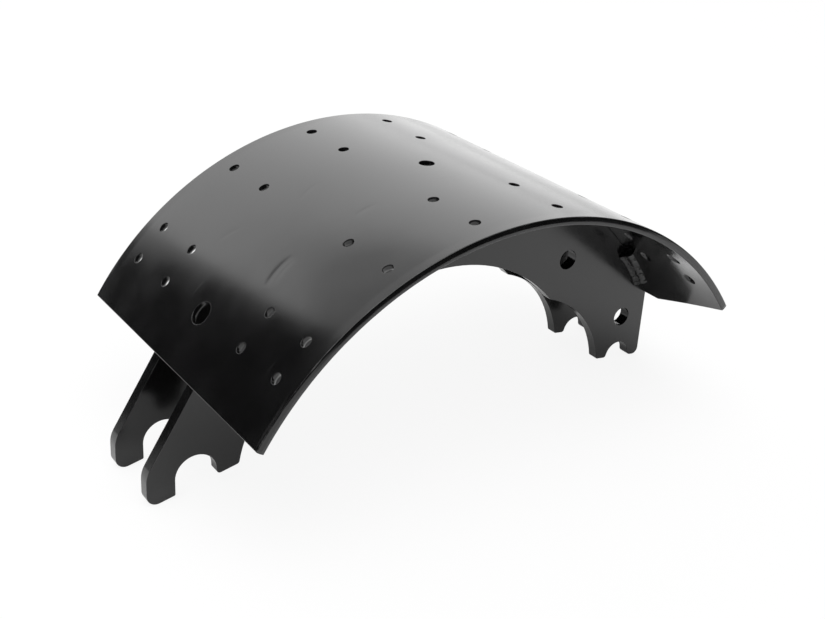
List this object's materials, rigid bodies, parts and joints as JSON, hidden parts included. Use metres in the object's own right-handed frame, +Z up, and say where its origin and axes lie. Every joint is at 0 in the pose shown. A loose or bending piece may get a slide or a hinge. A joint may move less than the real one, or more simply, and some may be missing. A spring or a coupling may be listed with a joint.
{
  "type": "brake shoe",
  "caption": "Curved drum brake shoe without lining: drilled steel table welded on two arched webs with half-round seats at their ends.",
  "frame": {"origin": "axis of the anchor pin's half-round seats, midway between the two webs", "axes": "+Z up with the shoe standing on the four tips of its webs, +Y along the drum's axis, +X from the anchor end to the cam end"},
  "size_m": [0.3552, 0.203, 0.1529],
  "materials": {
    "black_paint": "semi-gloss black dip coat on sheared and rolled steel plate",
    "painted_weld": "rippled fillet weld under the same thin coat"
  },
  "bodies": {
    "root": {"lining_table": "black_paint", "web_front": "black_paint", "web_rear": "black_paint", "welds_front": "painted_weld", "welds_rear": "painted_weld"}
  },
  "joints": []
}
